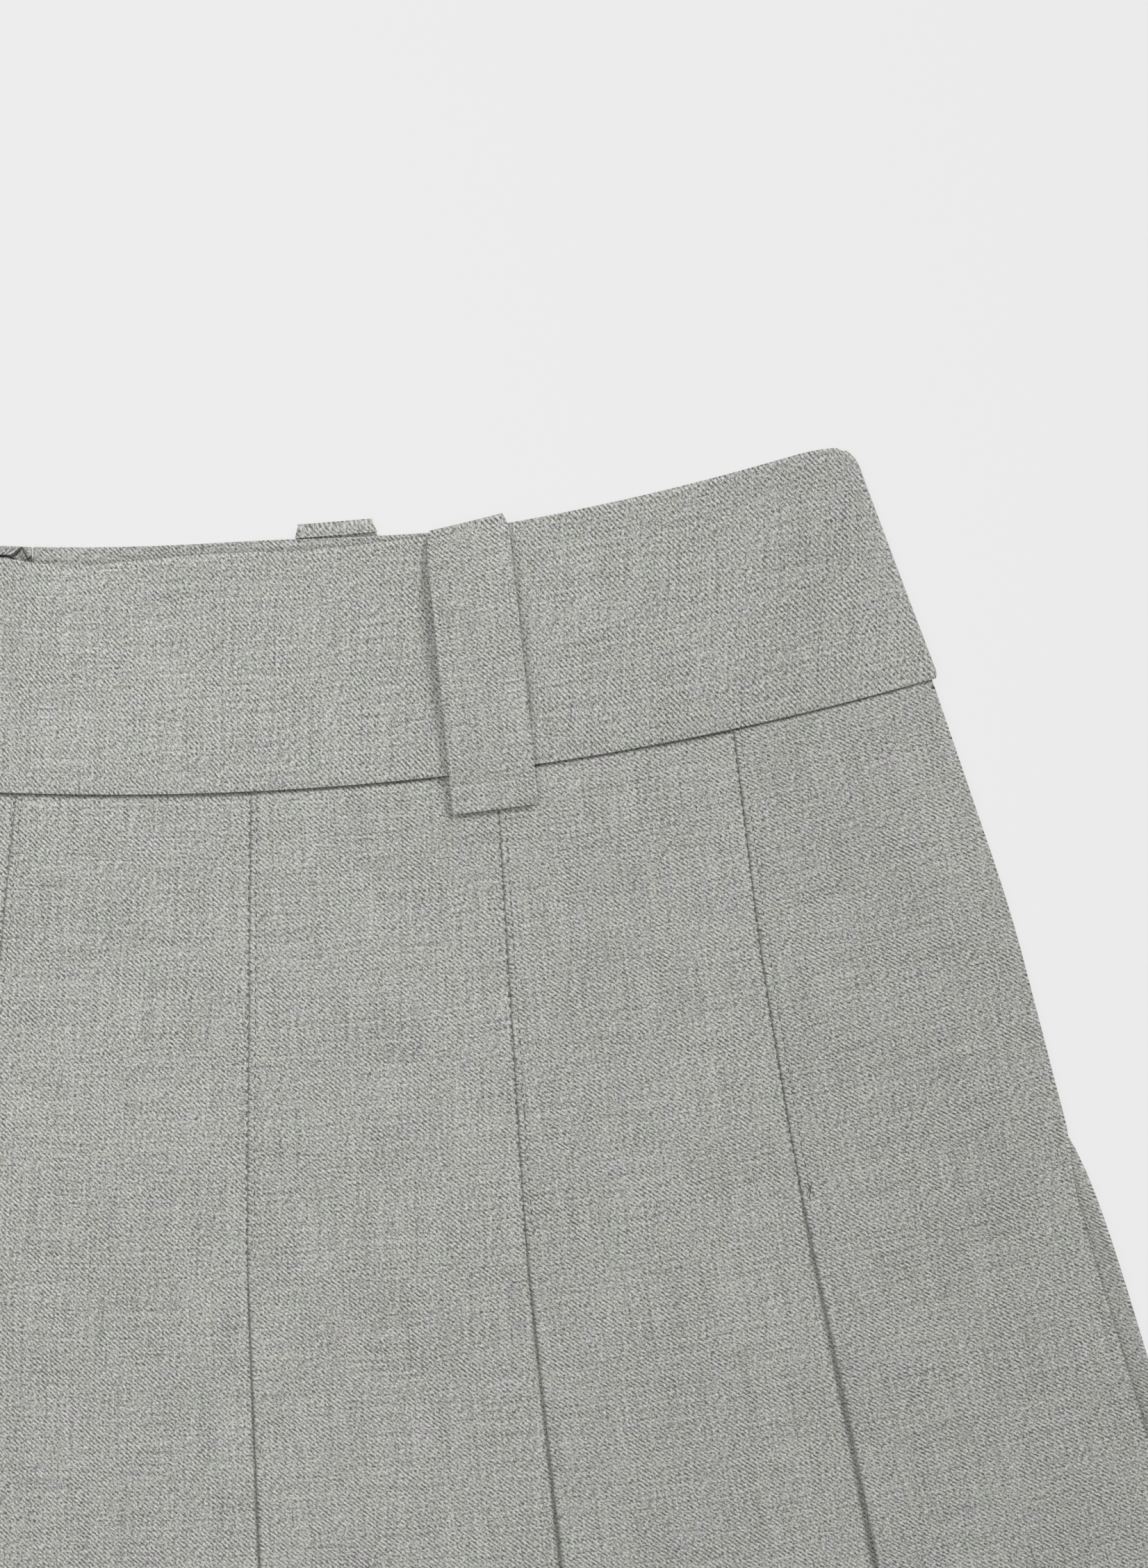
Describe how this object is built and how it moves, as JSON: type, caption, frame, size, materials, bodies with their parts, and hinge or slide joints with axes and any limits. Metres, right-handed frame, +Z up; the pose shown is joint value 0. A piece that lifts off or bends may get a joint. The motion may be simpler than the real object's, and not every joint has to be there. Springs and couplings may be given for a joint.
{
  "type": "pleated micro mini skirt",
  "caption": "Grey melange twill micro mini skirt laid flat front up, with knife pleats all round, a shaped waistband, belt loops, a concealed back zip and a wire hook and eye.",
  "frame": {"origin": "middle of the bounding box, on the surface that the skirt lies on", "axes": "+X to the wearer's left, +Y from the hem to the waist, +Z up out of the front of the laid skirt"},
  "size_m": [0.5668, 0.359, 0.0104],
  "materials": {
    "melange_twill": "soft brushed wool-blend twill, light grey melange",
    "zip_tape": "matt woven tape with a grey coil",
    "dark_nickel": "dark nickel plated, satin"
  },
  "bodies": {
    "skirt": {"front_skirt": "melange_twill", "back_skirt_left": "melange_twill", "back_skirt_right": "melange_twill", "waistband_front": "melange_twill", "waistband_back_left": "melange_twill", "waistband_back_right": "melange_twill", "belt_loop_front_left": "melange_twill", "belt_loop_front_right": "melange_twill", "belt_loop_back_left": "melange_twill", "belt_loop_back_right": "melange_twill", "zip_chain": "zip_tape", "zip_slider": "dark_nickel", "hook": "dark_nickel", "eye": "dark_nickel"},
    "pull_tab": {"zip_pull": "dark_nickel"}
  },
  "joints": [
    {"name": "pull_tab_hinge", "type": "hinge", "parent": "skirt", "child": "pull_tab", "pos_m": [-0.00261, 0.1464, 0.0013], "axis": [1, 0, 0], "range_deg": [0, 170]}
  ]
}
